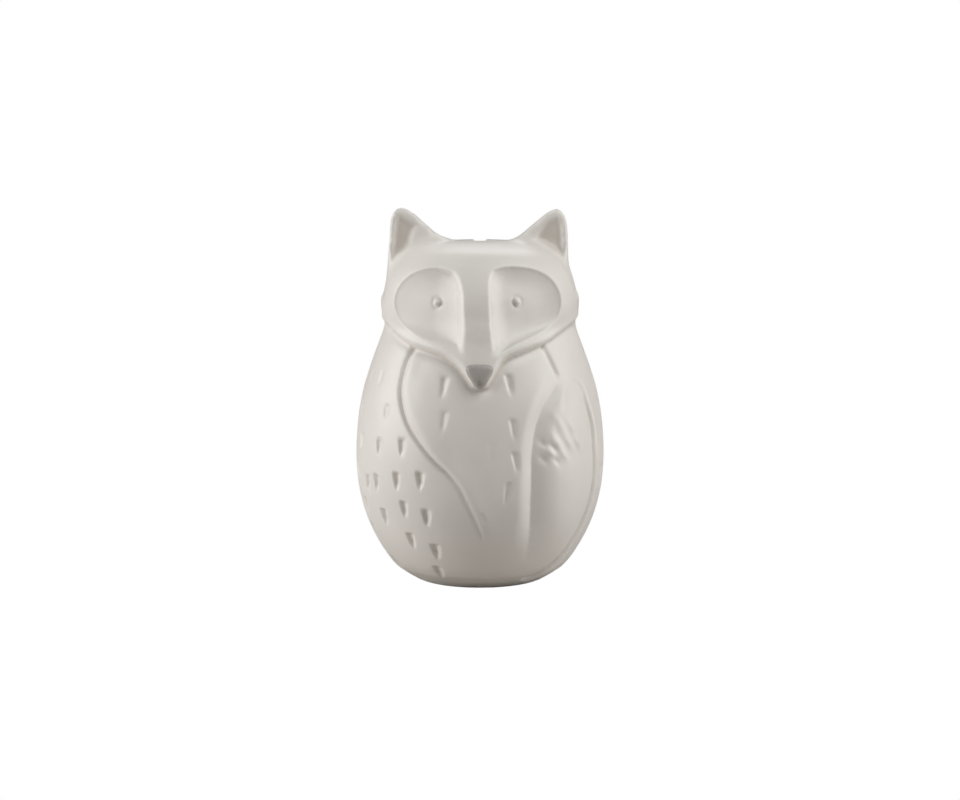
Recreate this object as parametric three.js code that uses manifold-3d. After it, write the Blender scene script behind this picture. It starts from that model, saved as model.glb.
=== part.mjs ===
// A sitting fox coin bank. A slip-cast ceramic shell has a coin slot in its crown, and a soft
// stopper with a pull tab closes the hole in its base. Millimetres, +Z up, the fox faces -Y,
// and the origin is the middle of the foot, on the table.
import * as THREE from 'three';
import { mergeVertices } from 'three/addons/utils/BufferGeometryUtils.js';
import Module from 'manifold-3d';

const wasm = await Module();
wasm.setup();

// ---- Driving dimensions ----

// Body and head, which are round about the Z axis
const BELLY_RADIUS = 50;
const BELLY_HEIGHT = 52;
const NECK_RADIUS = 38.3;
const NECK_HEIGHT = 104.5;
const HEAD_RADIUS = 39;
const CHEEK_RISE = 8.5; // neck to the widest ring of the head
const CROWN_RISE = 24; // widest ring of the head to the crown
const WALL = 4.5;

// Ears
const EAR_RISE = 13; // crown to ear tip
const EAR_TIP_INSET = 7.7; // ear tip to the side of the head
const EAR_BASE_DEPTH = 17; // front to back
const EAR_TIP_DEPTH = 4.5;
const EAR_HOLLOW = 1.8; // depth of the hollow in the front

// Face
const FACE_PROUD = 3; // how far the mask stands in front of the head
const SOCKET_SINK = 0.8; // eye socket floor, below the surface of the head
const BRIDGE_WIDTH = 10;
const EYE_RADIUS = 1.5;
const EYE_SPREAD = 16.3; // middle of the face to each eye
const MUZZLE_PROUD = 2; // muzzle front, clear of the chest
const NOSE_WIDTH = 10.8;
const NOSE_HEIGHT = 9.6;
const NOSE_THICKNESS = 1.4;
const NOSE_DROP = 21.6; // cheeks down to the top of the nose

// Relief on the body
const TAIL_PROUD = 1.6;
const TAIL_WIDTH = 36;
const TAIL_AZIMUTH = 46; // degrees, from the front towards +X
const GROOVE_RADIUS = 1.3;

// Coin slot
const SLOT_LENGTH = 33;
const SLOT_WIDTH = 5;

// Base and stopper
const FOOT_RING = 4; // width of the ring that the bank stands on
const FOOT_RECESS = 2.8; // underside of the base, above the table
const HOLE_RADIUS = 14.5;
const CLEARANCE = 0.3;
const FLANGE_THICKNESS = 2;
const FLANGE_LAP = 2.8; // flange rim, past the edge of the hole
const RECESS_ROOM = 1.2; // inside of the ring, past the flange rim
const PLUG_RISE = 3; // top of the plug, above the floor of the chamber
const PLUG_WALL = 3;
const PLUG_FLOOR = 2.6; // rubber left above the tab's pocket
const RIB_DEPTH = 0.8;
const TAB_THICKNESS = 1;
const TAB_WIDTH = 9;
const TAB_LENGTH = 16;
const TAB_ROOT = 4.5; // hinge line, behind the middle of the plug

// Facets
const ROUND_SEGMENTS = 48;
const INNER_SEGMENTS = 32;
const PROFILE_STEPS = 27;

// ---- Sizes that follow ----

const FLANGE_RADIUS = HOLE_RADIUS + FLANGE_LAP;
const RECESS_RADIUS = FLANGE_RADIUS + RECESS_ROOM;
const FOOT_RADIUS = RECESS_RADIUS + FOOT_RING;

const CHEEK_HEIGHT = NECK_HEIGHT + CHEEK_RISE;
const CROWN_HEIGHT = CHEEK_HEIGHT + CROWN_RISE;
const EAR_HEIGHT = CROWN_HEIGHT + EAR_RISE;
const NOSE_TOP = CHEEK_HEIGHT - NOSE_DROP;
const CHAMBER_FLOOR = FOOT_RECESS + WALL;

// ---- Solids ----

const { lerp, degToRad } = THREE.MathUtils;

// A closed geometry as a manifold solid, without the flat triangles at its poles
function solid(geometry) {
  geometry.deleteAttribute('normal');
  geometry.deleteAttribute('uv');
  const merged = mergeVertices(geometry, 1e-4);
  const corners = merged.index.array;
  const triVerts = [];
  for (let i = 0; i < corners.length; i += 3) {
    const [a, b, c] = corners.slice(i, i + 3);
    if (a !== b && b !== c && c !== a) triVerts.push(a, b, c);
  }
  return new wasm.Manifold(new wasm.Mesh({
    numProp: 3,
    vertProperties: new Float32Array(merged.attributes.position.array),
    triVerts: new Uint32Array(triVerts),
  }));
}

// A named mesh of a manifold solid
function part(name, shape, material) {
  const { vertProperties, triVerts } = shape.getMesh();
  const geometry = new THREE.BufferGeometry();
  geometry.setAttribute('position', new THREE.BufferAttribute(vertProperties, 3));
  geometry.setIndex(new THREE.BufferAttribute(triVerts, 1));
  geometry.computeVertexNormals();
  const mesh = new THREE.Mesh(geometry, material);
  mesh.name = name;
  return mesh;
}

// A profile of [radius, height] points, turned about Z, and stretched front to back
function turned(profile, segments = ROUND_SEGMENTS, depthScale = 1) {
  const points = profile.map(([radius, height]) => new THREE.Vector2(radius, height));
  const geometry = new THREE.LatheGeometry(points, segments);
  return solid(geometry.rotateX(Math.PI / 2).scale(1, depthScale, 1));
}

// An outline in X and Z, extruded from the axis forwards and turned to an azimuth
function frontPrism(outline, length, azimuth = 0, curveSegments = 8) {
  const geometry = new THREE.ExtrudeGeometry(outline, { depth: length, bevelEnabled: false, curveSegments });
  return solid(geometry.rotateX(Math.PI / 2).rotateZ(degToRad(azimuth)));
}

// An outline in Y and Z, extruded along X, half its length to each side of x
function sidePrism(outline, length, x = 0) {
  const geometry = new THREE.ExtrudeGeometry(outline, { depth: length, bevelEnabled: false });
  return solid(geometry.rotateX(Math.PI / 2).rotateZ(Math.PI / 2).translate(x - length / 2, 0, 0));
}

// An outline in X and Y, extruded upwards from a height
function upPrism(outline, length, height) {
  const geometry = new THREE.ExtrudeGeometry(outline, { depth: length, bevelEnabled: false, curveSegments: 8 });
  return solid(geometry.translate(0, 0, height));
}

function polygon(points) {
  return new THREE.Shape(points.map(([x, y]) => new THREE.Vector2(x, y)));
}

// ---- Profile of body and head ----

// Points between two others, each given by its share of the way out and of the way up
function between([r0, z0], [r1, z1], shares) {
  return shares.map(([out, up]) => [lerp(r0, r1, out), lerp(z0, z1, up)]);
}

const foot = [FOOT_RADIUS, 0];
const belly = [BELLY_RADIUS, BELLY_HEIGHT];
const neck = [NECK_RADIUS, NECK_HEIGHT];
const cheek = [HEAD_RADIUS, CHEEK_HEIGHT];
const crown = [0, CROWN_HEIGHT];

const profileKnots = [
  foot,
  ...between(foot, belly, [[0.18, 0.03], [0.46, 0.14], [0.7, 0.33], [0.86, 0.52], [0.965, 0.74]]),
  belly,
  ...between(belly, neck, [[0.07, 0.25], [0.23, 0.46], [0.48, 0.65], [0.77, 0.83], [0.97, 0.95]]),
  neck,
  cheek,
  ...between(cheek, crown, [[0.03, 0.33], [0.11, 0.65], [0.26, 0.86], [0.54, 0.975], [0.8, 1]]),
  crown,
];
const profileCurve = new THREE.SplineCurve(profileKnots.map(([r, z]) => new THREE.Vector2(r, z)));
const profile = profileCurve.getSpacedPoints(PROFILE_STEPS).map(({ x, y }) => [Math.max(x, 0), y]);

// The profile moved along its normal, outwards for a positive distance
function offsetProfile(distance) {
  return profile.map(([radius, height], i) => {
    const [r0, z0] = profile[Math.max(i - 1, 0)];
    const [r1, z1] = profile[Math.min(i + 1, profile.length - 1)];
    const slope = Math.atan2(z1 - z0, r1 - r0);
    const moved = radius + distance * Math.sin(slope);
    return [i === profile.length - 1 ? 0 : Math.max(moved, 0), height - distance * Math.cos(slope)];
  });
}

// Radius of a profile at a height
function radiusAt(height, points = profile) {
  const i = points.findIndex(([, z]) => z > height);
  const [r0, z0] = points[i - 1];
  const [r1, z1] = points[i];
  return lerp(r0, r1, (height - z0) / (z1 - z0));
}

// A point on the body at an azimuth in degrees and a share of the neck's height
function onBody(azimuth, share) {
  const height = share * NECK_HEIGHT;
  const radius = radiusAt(height);
  const angle = degToRad(azimuth);
  return new THREE.Vector3(radius * Math.sin(angle), -radius * Math.cos(angle), height);
}

const body = turned([[0, 0], ...profile]);

// ---- Face ----

// The mask is a shield over the front of the head, proud of the neck and the cheeks. Its lower
// edge runs from each cheek down to the nose, and its top runs out into the crown.
const maskDepth = (HEAD_RADIUS + FACE_PROUD) / HEAD_RADIUS;
const maskProfile = [
  [0, NOSE_TOP - NOSE_HEIGHT],
  [radiusAt(NOSE_TOP) * 0.98, NOSE_TOP - NOSE_HEIGHT],
  [radiusAt(NOSE_TOP) * 0.98, NOSE_TOP],
  [HEAD_RADIUS * 1.01, NECK_HEIGHT - 3],
  ...profile.filter(([, height]) => height > CHEEK_HEIGHT - 3),
];

function faceOutline(points) {
  return points.map(([out, up]) => [out * HEAD_RADIUS, CHEEK_HEIGHT + up * NOSE_DROP]);
}

const maskEdge = faceOutline([[0.2, -1.02], [0.37, -0.83], [0.58, -0.68], [0.78, -0.48], [0.93, -0.2], [1.1, 0.3]]);
const maskShape = new THREE.Shape();
maskShape.moveTo(0, NOSE_TOP - 3);
maskShape.splineThru(maskEdge.map(([x, z]) => new THREE.Vector2(x, z)));
maskShape.lineTo(BELLY_RADIUS, EAR_HEIGHT);
maskShape.lineTo(-BELLY_RADIUS, EAR_HEIGHT);
maskShape.lineTo(-maskEdge.at(-1)[0], maskEdge.at(-1)[1]);
maskShape.splineThru(maskEdge.slice(0, -1).reverse().map(([x, z]) => new THREE.Vector2(-x, z)));
maskShape.lineTo(0, NOSE_TOP - 3);

const FRONT = 2 * BELLY_RADIUS; // a prism this long reaches past the front
const mask = turned(maskProfile, ROUND_SEGMENTS, maskDepth)
  .intersect(frontPrism(maskShape, FRONT, 0, 4));

// Each eye socket is a leaf with an upright inner edge beside the bridge of the nose
function socketShape(side) {
  const inner = BRIDGE_WIDTH / 2;
  const [top, outer, low] = faceOutline([[0.44, 0.77], [0.84, 0.12], [0.56, -0.53]]);
  const shape = new THREE.Shape();
  shape.moveTo(side * inner, NOSE_TOP + 2);
  shape.lineTo(side * inner, CHEEK_HEIGHT + NOSE_DROP * 0.45);
  shape.bezierCurveTo(
    side * inner, top[1], side * inner, top[1], side * top[0], top[1],
  );
  shape.bezierCurveTo(
    side * outer[0] * 0.85, top[1], side * outer[0], lerp(outer[1], top[1], 0.6), side * outer[0], outer[1],
  );
  shape.bezierCurveTo(
    side * outer[0], lerp(outer[1], low[1], 0.6), side * lerp(outer[0], low[0], 0.5), low[1] + 2, side * low[0], low[1],
  );
  shape.quadraticCurveTo(side * low[0] * 0.5, lerp(low[1], NOSE_TOP, 0.5), side * inner, NOSE_TOP + 2);
  return shape;
}

const socketFloor = turned([[0, 0], ...offsetProfile(-SOCKET_SINK)]);

function socket(side) {
  return frontPrism(socketShape(side), FRONT, 0, 6).subtract(socketFloor);
}

function eye(side) {
  const height = CHEEK_HEIGHT + 2;
  const floorRadius = radiusAt(height) - SOCKET_SINK;
  const depth = Math.sqrt(floorRadius ** 2 - EYE_SPREAD ** 2);
  return solid(new THREE.SphereGeometry(EYE_RADIUS, 10, 6).translate(side * EYE_SPREAD, -depth, height));
}

// The muzzle is a wedge from the mask down to the nose, clear of the chest
const noseBottom = NOSE_TOP - NOSE_HEIGHT;
const muzzleFront = radiusAt(noseBottom) + MUZZLE_PROUD;
const maskFront = (HEAD_RADIUS * 1.01) * maskDepth;
const muzzleSide = polygon([
  [-HEAD_RADIUS * 0.9, NECK_HEIGHT + 1],
  [-maskFront, NECK_HEIGHT + 1],
  [-muzzleFront, NOSE_TOP + 1],
  [-muzzleFront, noseBottom],
  [-radiusAt(noseBottom) + 1, noseBottom - 1.5],
  [-HEAD_RADIUS * 0.9, noseBottom - 1.5],
]);
const muzzleShape = polygon([
  [0, noseBottom - 1.5],
  [NOSE_WIDTH / 2 + 0.5, NOSE_TOP - 0.5],
  [NOSE_WIDTH / 2 + 0.8, NOSE_TOP + 1],
  [BRIDGE_WIDTH / 2, NECK_HEIGHT + 1],
  [-BRIDGE_WIDTH / 2, NECK_HEIGHT + 1],
  [-NOSE_WIDTH / 2 - 0.8, NOSE_TOP + 1],
  [-NOSE_WIDTH / 2 - 0.5, NOSE_TOP - 0.5],
]);
const muzzle = sidePrism(muzzleSide, 2 * NOSE_WIDTH).intersect(frontPrism(muzzleShape, FRONT));

// ---- Ears ----

// Seen from the front an ear is upright on its outer side and slopes down to the crown inside
function earShape(side, inset) {
  const outer = HEAD_RADIUS - 3.4 - inset;
  const tip = HEAD_RADIUS - EAR_TIP_INSET;
  const shape = new THREE.Shape();
  shape.moveTo(side * (HEAD_RADIUS * 0.36 + inset), CROWN_HEIGHT - 1);
  shape.lineTo(side * (tip - 4.5 + inset * 0.6), EAR_HEIGHT - 2 - inset);
  shape.quadraticCurveTo(
    side * tip, EAR_HEIGHT + 2 - inset * 2.2,
    side * (outer - 0.6), EAR_HEIGHT - 3 - inset,
  );
  shape.lineTo(side * outer, CROWN_HEIGHT - 12 + inset * 3);
  shape.lineTo(side * (HEAD_RADIUS * 0.5 + inset), CROWN_HEIGHT - 12 + inset * 3);
  return shape;
}

// Seen from the side it is a wedge, and the hollow's wedge lies in front of its sunk front face
function earWedge(sink, front) {
  const base = EAR_BASE_DEPTH / 2;
  const tip = EAR_TIP_DEPTH / 2;
  return polygon([
    [sink - base, CROWN_HEIGHT - 14],
    [front ? -FRONT : base, CROWN_HEIGHT - 14],
    [front ? -FRONT : tip, EAR_HEIGHT + 3],
    [sink - tip, EAR_HEIGHT + 3],
  ]);
}

function centredPrism(shape) {
  return solid(new THREE.ExtrudeGeometry(shape, { depth: FRONT, bevelEnabled: false, curveSegments: 6 })
    .translate(0, 0, -FRONT / 2)
    .rotateX(Math.PI / 2));
}

function ear(side) {
  return centredPrism(earShape(side, 0)).intersect(sidePrism(earWedge(0, false), FRONT));
}

function earHollow(side) {
  return centredPrism(earShape(side, 1.6)).intersect(sidePrism(earWedge(EAR_HOLLOW, true), FRONT));
}

// ---- Tail and legs ----

// The tail is a leaf that curls round the right side, with its tip up
const tailHalf = TAIL_WIDTH / 2;
const tailTop = NECK_HEIGHT * 0.81;
const tailMiddle = NECK_HEIGHT * 0.47;
const tailBottom = NECK_HEIGHT * 0.07;
const tailShape = new THREE.Shape();
tailShape.moveTo(0, tailTop);
tailShape.bezierCurveTo(tailHalf * 0.85, tailTop - 4, tailHalf, tailMiddle + 16, tailHalf, tailMiddle);
tailShape.bezierCurveTo(tailHalf, tailMiddle * 0.5, tailHalf * 0.4, tailBottom + 2, -tailHalf * 0.2, tailBottom);
tailShape.bezierCurveTo(-tailHalf * 0.8, tailBottom + 4, -tailHalf, tailMiddle * 0.6, -tailHalf, tailMiddle);
tailShape.bezierCurveTo(-tailHalf, tailMiddle + 18, -tailHalf * 0.3, tailTop - 12, 0, tailTop);
const tailSkin = offsetProfile(TAIL_PROUD).filter(([, height]) => height > 2 && height < NECK_HEIGHT);
const tail = turned([[0, 2], ...tailSkin, [0, NECK_HEIGHT]])
  .intersect(frontPrism(tailShape, FRONT, TAIL_AZIMUTH));

// The legs are drawn by grooves pressed along the body
function groove(points) {
  const path = new THREE.CatmullRomCurve3(points.map(([azimuth, share]) => onBody(azimuth, share)));
  const section = new THREE.Shape().absarc(0, 0, GROOVE_RADIUS, 0, 2 * Math.PI);
  return solid(new THREE.ExtrudeGeometry(section, { extrudePath: path, steps: 5 * points.length, curveSegments: 3 }));
}

const grooves = [
  groove([[-42, 0.9], [-42, 0.77], [-33, 0.62], [-18, 0.5], [-8, 0.42], [-4, 0.31], [3, 0.19]]),
  groove([[39, 0.92], [43, 0.83]]),
];

// ---- Chamber, coin slot and base ----

// Inside, the shell follows its outside, one wall in, from the floor up to the crown
const inside = offsetProfile(-WALL).filter(([, height]) => height > CHAMBER_FLOOR + 1);
const chamber = turned([
  [0, CHAMBER_FLOOR],
  [inside[0][0] - 2, CHAMBER_FLOOR],
  ...inside.filter((point, i) => i % 2 === 0 && i < inside.length - 1),
  inside.at(-1),
], INNER_SEGMENTS);

// The slot runs front to back over the rear half of the crown
const slotMiddle = HEAD_RADIUS * 0.36;
const slotShape = new THREE.Shape();
slotShape.absarc(0, slotMiddle + (SLOT_LENGTH - SLOT_WIDTH) / 2, SLOT_WIDTH / 2, 0, Math.PI);
slotShape.absarc(0, slotMiddle - (SLOT_LENGTH - SLOT_WIDTH) / 2, SLOT_WIDTH / 2, Math.PI, 2 * Math.PI);
const slot = upPrism(slotShape, CROWN_RISE, CROWN_HEIGHT - CROWN_RISE / 2);

const baseCut = turned([
  [0, -1],
  [RECESS_RADIUS + 0.5, -1],
  [RECESS_RADIUS, FOOT_RECESS],
  [HOLE_RADIUS, FOOT_RECESS],
  [HOLE_RADIUS, CHAMBER_FLOOR + 1],
  [0, CHAMBER_FLOOR + 1],
], INNER_SEGMENTS);

let ceramic = body.add(mask).add(muzzle).add(tail);
for (const side of [-1, 1]) {
  ceramic = ceramic.subtract(socket(side)).add(eye(side)).add(ear(side)).subtract(earHollow(side));
}
for (const cut of [...grooves, chamber, slot, baseCut]) {
  ceramic = ceramic.subtract(cut);
}

// ---- Nose ----

// A rounded triangle, laid on the front of the muzzle
const noseHalf = NOSE_WIDTH / 2;
const noseShape = new THREE.Shape();
noseShape.moveTo(0, noseBottom);
noseShape.quadraticCurveTo(noseHalf * 0.25, noseBottom, noseHalf * 0.45, noseBottom + NOSE_HEIGHT * 0.32);
noseShape.lineTo(noseHalf * 0.93, NOSE_TOP - NOSE_HEIGHT * 0.22);
noseShape.quadraticCurveTo(noseHalf * 1.08, NOSE_TOP, noseHalf * 0.7, NOSE_TOP);
noseShape.lineTo(-noseHalf * 0.7, NOSE_TOP);
noseShape.quadraticCurveTo(-noseHalf * 1.08, NOSE_TOP, -noseHalf * 0.93, NOSE_TOP - NOSE_HEIGHT * 0.22);
noseShape.lineTo(-noseHalf * 0.45, noseBottom + NOSE_HEIGHT * 0.32);
noseShape.quadraticCurveTo(-noseHalf * 0.25, noseBottom, 0, noseBottom);
const noseGeometry = new THREE.ExtrudeGeometry(noseShape, {
  depth: NOSE_THICKNESS - 0.5,
  bevelThickness: 0.5,
  bevelSize: 0.5,
  bevelOffset: -0.5,
  bevelSegments: 2,
  curveSegments: 5,
});
noseGeometry.translate(0, 0, 0.5).rotateX(Math.PI / 2).translate(0, -muzzleFront - CLEARANCE, 0);
const nose = solid(noseGeometry);

// ---- Stopper ----

// A soft cup that plugs the hole from below, with a flange under the base and ribs on its neck
const flangeTop = FOOT_RECESS - CLEARANCE;
const flangeBottom = flangeTop - FLANGE_THICKNESS;
const pocketTop = flangeBottom + TAB_THICKNESS + CLEARANCE;
const plugTop = CHAMBER_FLOOR + PLUG_RISE;
const plugRadius = HOLE_RADIUS - CLEARANCE;
const cupRadius = plugRadius - PLUG_WALL;
const ribHeight = (plugTop - flangeTop) / 5;
const ribs = [0, 1].flatMap((i) => {
  const start = flangeTop + (0.6 + 2 * i) * ribHeight;
  return [
    [plugRadius, start],
    [plugRadius - RIB_DEPTH, start + ribHeight * 0.4],
    [plugRadius - RIB_DEPTH, start + ribHeight],
    [plugRadius, start + ribHeight * 1.4],
  ];
});
const plugBody = turned([
  [0, flangeBottom],
  [FLANGE_RADIUS - 0.6, flangeBottom],
  [FLANGE_RADIUS, flangeBottom + 0.6],
  [FLANGE_RADIUS, flangeTop - 0.4],
  [FLANGE_RADIUS - 0.4, flangeTop],
  [plugRadius, flangeTop],
  ...ribs,
  [plugRadius, plugTop - 1.2],
  [plugRadius - 1.2, plugTop],
  [cupRadius + 0.5, plugTop],
  [cupRadius, plugTop - 0.5],
  [cupRadius, pocketTop + PLUG_FLOOR],
  [0, pocketTop + PLUG_FLOOR],
], INNER_SEGMENTS);

// An upright-ended strip with a round front, in X and Y
function tabOutline(width, front, back) {
  const shape = new THREE.Shape();
  shape.moveTo(width / 2, back);
  shape.lineTo(-width / 2, back);
  shape.absarc(0, front + width / 2, width / 2, Math.PI, 2 * Math.PI);
  return shape;
}

const tabAxisHeight = flangeBottom + TAB_THICKNESS / 2;
const tabFront = TAB_ROOT - TAB_LENGTH;
const pocket = upPrism(
  tabOutline(TAB_WIDTH + 2 * CLEARANCE, tabFront - CLEARANCE, TAB_ROOT + TAB_THICKNESS / 2 + CLEARANCE),
  pocketTop + 1,
  -1,
);
const plug = plugBody.subtract(pocket);

// ---- Pull tab ----

// It lies in the pocket, and hinges down about a line along X at its rounded root
const tabStrip = upPrism(tabOutline(TAB_WIDTH, tabFront, TAB_ROOT), TAB_THICKNESS, flangeBottom);
const tabRoot = solid(new THREE.CylinderGeometry(TAB_THICKNESS / 2, TAB_THICKNESS / 2, TAB_WIDTH, 12)
  .rotateZ(Math.PI / 2)
  .translate(0, TAB_ROOT, tabAxisHeight));
const tab = tabStrip.add(tabRoot);

// ---- Assembly ----

const glaze = new THREE.MeshStandardMaterial({ color: 0xe9e5de, roughness: 0.35, metalness: 0 });
const noseGlaze = new THREE.MeshStandardMaterial({ color: 0x8a857f, roughness: 0.5, metalness: 0 });
const rubber = new THREE.MeshStandardMaterial({ color: 0xd9d6cf, roughness: 0.7, metalness: 0 });

const bank = new THREE.Group();
bank.add(part('ceramic_body', ceramic, glaze));
bank.add(part('nose', nose, noseGlaze));
bank.add(part('stopper_plug', plug, rubber));
bank.add(part('pull_tab', tab, rubber));

export default bank;
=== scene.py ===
import math
import random

import bmesh
import bpy
import numpy as np
from mathutils import Matrix, Vector
from mathutils.bvhtree import BVHTree
from mathutils.kdtree import KDTree


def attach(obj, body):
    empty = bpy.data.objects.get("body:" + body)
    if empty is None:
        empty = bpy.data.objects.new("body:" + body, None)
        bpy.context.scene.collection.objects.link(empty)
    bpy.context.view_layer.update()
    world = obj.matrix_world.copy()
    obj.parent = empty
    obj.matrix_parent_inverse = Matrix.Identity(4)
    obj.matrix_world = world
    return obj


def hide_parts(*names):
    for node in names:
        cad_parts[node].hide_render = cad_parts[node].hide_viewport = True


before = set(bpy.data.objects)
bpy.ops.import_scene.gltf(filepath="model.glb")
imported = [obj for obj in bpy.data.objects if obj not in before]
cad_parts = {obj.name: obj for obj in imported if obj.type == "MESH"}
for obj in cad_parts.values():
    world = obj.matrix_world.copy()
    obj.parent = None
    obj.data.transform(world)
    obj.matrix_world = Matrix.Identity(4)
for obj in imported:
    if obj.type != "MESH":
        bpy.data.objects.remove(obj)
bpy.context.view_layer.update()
scene = bpy.context.scene


# ---- Camera ----
# A long lens a metre in front of the bank, a little above its ears, looking slightly down at it.

CAMERA_PLACE = Vector((0, -1.0, 0.190))
CAMERA_AIM = Vector((0, 0, 0.0726))
CAMERA_LENS = 93.5

camera_data = bpy.data.cameras.new("camera")
camera_data.lens = CAMERA_LENS
camera_data.sensor_width = 36
camera = bpy.data.objects.new("camera", camera_data)
camera.location = CAMERA_PLACE
camera.rotation_euler = (CAMERA_AIM - CAMERA_PLACE).to_track_quat("-Z", "Y").to_euler()
scene.collection.objects.link(camera)
scene.camera = camera
scene.view_settings.view_transform = "Standard"


# ---- Body and head ----
# The bank is one slip-cast ceramic shell, round about its upright axis, from the foot ring over
# the belly and the neck to the crown. It is modelled in millimetres and scaled at the end.

FOOT = (22.5, 0)
BELLY = (50, 52)
NECK = (38.3, 104.5)
CHEEK = (39, 113)
CROWN = (0, 137)
TURN_STEPS = 128
VOXEL = 1.1


def between(low, high, shares):
    """Points between two others, each given by its share of the way out and of the way up."""
    (r0, z0), (r1, z1) = low, high
    return [(r0 + out * (r1 - r0), z0 + up * (z1 - z0)) for out, up in shares]


def line_through(points, steps=6, closed=False):
    """A smooth line through points, in the way of a bent spline."""
    knots = np.array(points, float)
    if closed:
        ends = np.vstack([knots[-1], knots, knots[0], knots[1]])
    else:
        ends = np.vstack([2 * knots[0] - knots[1], knots, 2 * knots[-1] - knots[-2]])
    t = np.linspace(0, 1, steps, endpoint=False)[:, None]
    spans = []
    for a, b, c, d in zip(ends[:-3], ends[1:-2], ends[2:-1], ends[3:]):
        bend = 2 * b + (c - a) * t + (2 * a - 5 * b + 4 * c - d) * t**2
        spans.append(0.5 * (bend + (3 * b - a - 3 * c + d) * t**3))
    line = np.vstack(spans)
    return line if closed else np.vstack([line, knots[-1]])


profile_knots = [
    FOOT,
    *between(FOOT, BELLY, [(0.18, 0.03), (0.46, 0.14), (0.7, 0.33), (0.86, 0.52), (0.965, 0.74)]),
    BELLY,
    *between(BELLY, NECK, [(0.07, 0.25), (0.23, 0.46), (0.48, 0.65), (0.77, 0.83), (0.97, 0.95)]),
    NECK,
    CHEEK,
    *between(CHEEK, CROWN, [(0.03, 0.33), (0.11, 0.65), (0.26, 0.86), (0.54, 0.975), (0.8, 1)]),
    CROWN,
]


def evened(line, spacing):
    """A line with its points at even distances."""
    run = np.concatenate([[0], np.cumsum(np.hypot(*np.diff(line, axis=0).T))])
    marks = np.linspace(0, run[-1], round(run[-1] / spacing) + 1)
    return np.stack([np.interp(marks, run, line[:, 0]), np.interp(marks, run, line[:, 1])], axis=1)


def softened(line, spacing, reach):
    """A line averaged along itself, with its ends held."""
    count = round(3 * reach / spacing)
    weights = np.exp(-0.5 * (np.arange(-count, count + 1) * spacing / reach) ** 2)
    weights /= weights.sum()
    before = 2 * line[0] - line[count:0:-1]
    after = 2 * line[-1] - line[-2:-count - 2:-1]
    padded = np.vstack([before, line, after])
    return np.stack([np.convolve(padded[:, k], weights, "valid") for k in (0, 1)], axis=1)


PROFILE_SPACING = 0.5
profile = evened(line_through(profile_knots, steps=12), PROFILE_SPACING)
profile = softened(profile, PROFILE_SPACING, 1.5)
profile[:, 0] = np.maximum(profile[:, 0], 0)
profile_run = np.concatenate([[0], np.cumsum(np.hypot(*np.diff(profile, axis=0).T))])


def outward_of(line):
    """The way outwards at each point of a profile that runs up."""
    slope = np.gradient(line, profile_run, axis=0)
    out = np.stack([slope[:, 1], -slope[:, 0]], axis=1)
    return out / np.linalg.norm(out, axis=1)[:, None]


profile_out = outward_of(profile)
relief_out = outward_of(softened(profile, PROFILE_SPACING, 6))

# The shell is read by azimuth, in degrees from the front towards +X, and by the run up its profile.
# A line from this point on the axis meets the profile once.
HEART = 60
profile_angle = np.arctan2(profile[:, 0], HEART - profile[:, 1])


def turned(points, steps):
    """A closed solid turned from a profile that starts and ends on the axis."""
    lathe = bmesh.new()
    rim = [lathe.verts.new((radius, 0, height)) for radius, height in points]
    edges = [lathe.edges.new(pair) for pair in zip(rim[:-1], rim[1:])]
    bmesh.ops.spin(lathe, geom=rim + edges, cent=(0, 0, 0), axis=(0, 0, 1), dvec=(0, 0, 0),
                   angle=2 * math.pi, steps=steps, use_merge=True, use_duplicate=False)
    bmesh.ops.remove_doubles(lathe, verts=lathe.verts, dist=1e-4)
    bmesh.ops.recalc_face_normals(lathe, faces=lathe.faces)
    return lathe


def mesh_of(shape, name):
    """The mesh of a bmesh, which is used up."""
    mesh = bpy.data.meshes.new(name)
    shape.to_mesh(mesh)
    shape.free()
    return mesh


def extruded(shape, faces, move, **settings):
    """Faces of a shape, drawn out by a move into a solid."""
    drawn = bmesh.ops.extrude_face_region(shape, geom=faces, **settings)
    verts = [v for v in drawn["geom"] if isinstance(v, bmesh.types.BMVert)]
    bmesh.ops.translate(shape, vec=move, verts=verts)
    bmesh.ops.recalc_face_normals(shape, faces=shape.faces)


def worked(mesh, kind, **settings):
    """A mesh after one modifier."""
    holder = bpy.data.objects.new("holder", mesh)
    scene.collection.objects.link(holder)
    tool = holder.modifiers.new(kind.lower(), kind)
    for key, value in settings.items():
        setattr(tool, key, value)
    graph = bpy.context.evaluated_depsgraph_get()
    result = bpy.data.meshes.new_from_object(holder.evaluated_get(graph))
    bpy.data.objects.remove(holder)
    return result


shell = turned([(0, 0), *profile], TURN_STEPS)


# ---- Ears ----
# Two solid wedges cast in one with the head: upright on their outer sides, sloping down to the
# crown inside, thick where they leave the head and thin at their rounded tips.

EAR_OUTLINES = (
    [(-30, 118), (-36.9, 121), (-36.9, 129), (-36.2, 137), (-35.9, 142.5), (-35.2, 147), (-32, 150.2),
     (-27.2, 148.2), (-22, 143.7), (-17, 139.4), (-12, 136.8), (-12, 126), (-20, 118)],
    [(30, 118), (35.3, 121), (35.3, 128), (35.2, 136), (34.9, 142), (33.9, 146.8), (31.0, 149.6),
     (27.5, 148.4), (23.8, 145.6), (18.1, 140.8), (13, 137), (11, 135), (12, 126), (20, 118)],
)
EAR_DEPTHS = (8.5, 2.6)  # half the thickness at the head and at the tip
EAR_HEIGHTS = (123, 152)
EAR_FILLET = 5.0
FILLET_PASSES = 12
EAR_PASSES = 3
EAR_ROOT = 112  # nothing below this height is near an ear


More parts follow.
